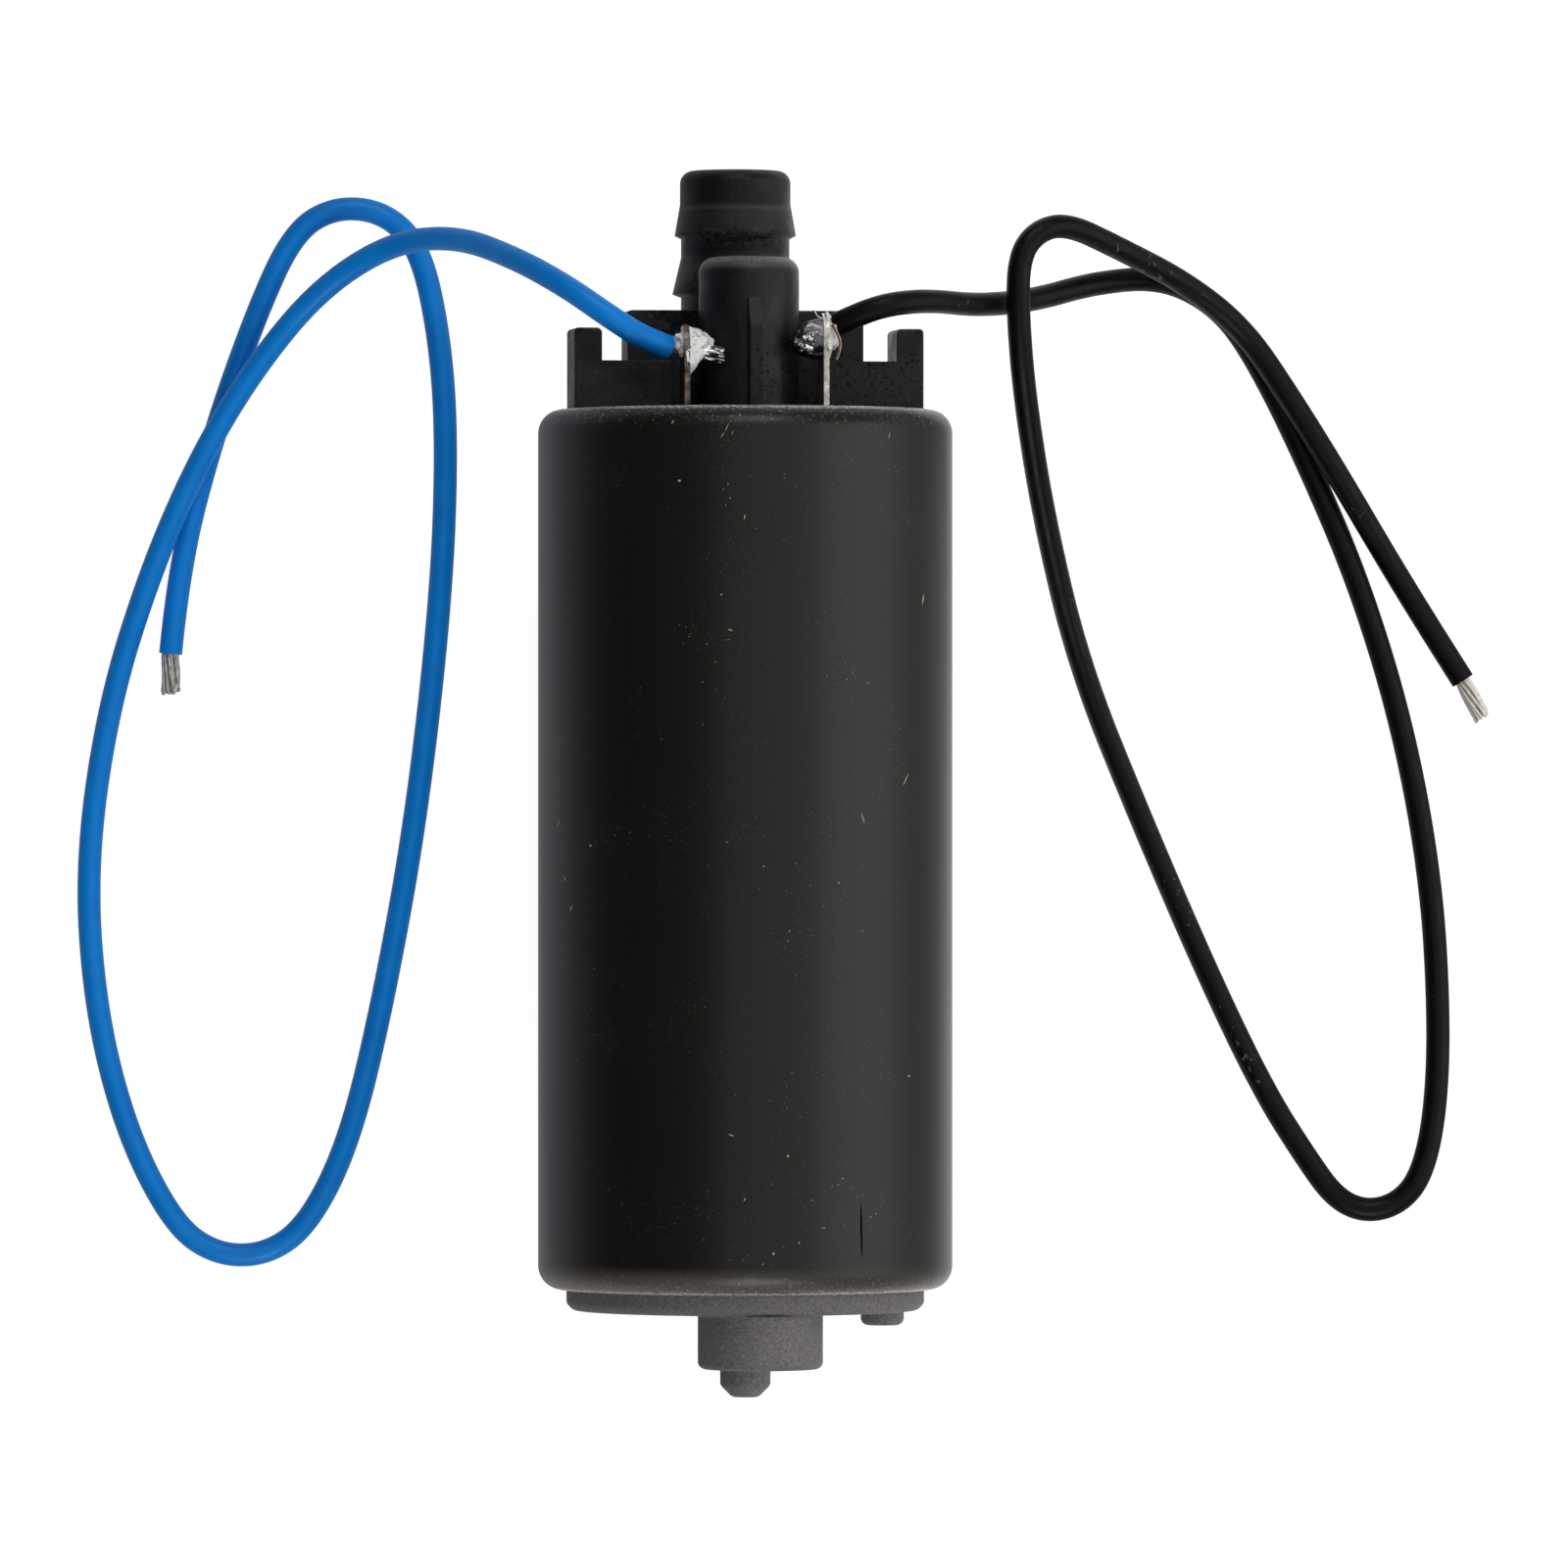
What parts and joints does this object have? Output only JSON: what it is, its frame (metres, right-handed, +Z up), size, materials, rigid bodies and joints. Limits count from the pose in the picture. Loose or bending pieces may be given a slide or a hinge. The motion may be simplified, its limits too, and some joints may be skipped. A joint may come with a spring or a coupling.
{
  "type": "fuel pump",
  "caption": "Cylindrical electric in-tank fuel pump with offset inlet neck, moulded outlet cover with hose barb, and soldered leads lying in loops.",
  "frame": {"origin": "bottom centre of the pump without its leads, as it lies on its side: on the floor under the can's axis, midway between the stud's end and the barb's tip", "axes": "+Y along the pump's axis towards the outlet barb, +Z up, +X to the right seen from above with the outlet away from the viewer; the pump is rolled 8 degrees about its axis"},
  "size_m": [0.1312, 0.1127, 0.038],
  "materials": {
    "can_coating": "satin, fine scratches, worn bright at the rolled rims",
    "sintered_metal": "matt, fine grain",
    "cover_plastic": "glass-filled moulding, faint specks",
    "impeller_plastic": "moulded, satin",
    "casing_aluminium": "die cast, matt",
    "ground_steel": "ground",
    "bearing_bronze": "sintered, oily",
    "carbon": "matt carbon",
    "ferrite": "ground ferrite",
    "spring_steel": "bright wire",
    "copper_wire": "enamelled copper",
    "lamination_steel": "stamped sheets",
    "insulator_plastic": "moulded",
    "tinned_brass": "tinned, stamped",
    "solder": "bright, rough",
    "blue_insulation": "extruded PVC, semi-gloss",
    "black_insulation": "extruded PVC, semi-gloss",
    "tinned_copper": "tinned strands",
    "seal_rubber": "matt"
  },
  "bodies": {
    "housing": {"can": "can_coating", "inlet_cover": "sintered_metal", "thrust_button": "ground_steel", "pump_casing": "casing_aluminium", "lower_bearing": "bearing_bronze", "upper_bearing": "bearing_bronze", "magnet_right": "ferrite", "magnet_left": "ferrite", "magnet_clip_back": "spring_steel", "magnet_clip_front": "spring_steel", "outlet_cover": "cover_plastic", "cover_seal": "seal_rubber", "terminal_left": "tinned_brass", "terminal_right": "tinned_brass", "brush_spring_left": "spring_steel", "brush_spring_right": "spring_steel", "brush_shunt_left": "copper_wire", "brush_shunt_right": "copper_wire", "check_valve_spring": "spring_steel", "check_valve_guide": "insulator_plastic", "relief_spring": "spring_steel", "relief_plug": "bearing_bronze", "solder_left": "solder", "solder_right": "solder", "blue_lead": "blue_insulation", "black_lead": "black_insulation", "blue_lead_tail": "tinned_copper", "black_lead_tail": "tinned_copper", "blue_lead_strands": "tinned_copper", "black_lead_strands": "tinned_copper"},
    "rotor": {"shaft": "ground_steel", "impeller": "impeller_plastic", "lower_washer": "ground_steel", "upper_washer": "ground_steel", "lamination_stack": "lamination_steel", "armature_windings": "copper_wire", "lower_insulator": "insulator_plastic", "upper_insulator": "insulator_plastic", "commutator_hub": "insulator_plastic", "commutator": "carbon"},
    "brush_left_body": {"brush_left": "carbon"},
    "brush_right_body": {"brush_right": "carbon"},
    "check_valve": {"check_valve_poppet": "cover_plastic", "check_valve_seal": "seal_rubber"},
    "relief_valve": {"relief_ball": "ground_steel"}
  },
  "joints": [
    {"name": "rotor_spin", "type": "hinge", "parent": "housing", "child": "rotor", "pos_m": [0, 0, 0.019], "axis": [0, 1, 0], "continuous": true},
    {"name": "brush_left_slide", "type": "slide", "parent": "housing", "child": "brush_left_body", "axis": [0, 1, 0], "range_m": [0, 0.003], "stiffness_N_per_m": 120, "springref_m": -0.006, "deforming": ["brush_spring_left", "brush_shunt_left"]},
    {"name": "brush_right_slide", "type": "slide", "parent": "housing", "child": "brush_right_body", "axis": [0, 1, 0], "range_m": [0, 0.003], "stiffness_N_per_m": 120, "springref_m": -0.006, "deforming": ["brush_spring_right", "brush_shunt_right"]},
    {"name": "check_valve_slide", "type": "slide", "parent": "housing", "child": "check_valve", "axis": [0, 1, 0], "range_m": [0, 0.0025], "stiffness_N_per_m": 60, "springref_m": -0.003, "deforming": ["check_valve_spring"]},
    {"name": "relief_valve_slide", "type": "slide", "parent": "housing", "child": "relief_valve", "axis": [0, 1, 0], "range_m": [0, 0.0015], "stiffness_N_per_m": 600, "springref_m": -0.004, "deforming": ["relief_spring"]}
  ]
}
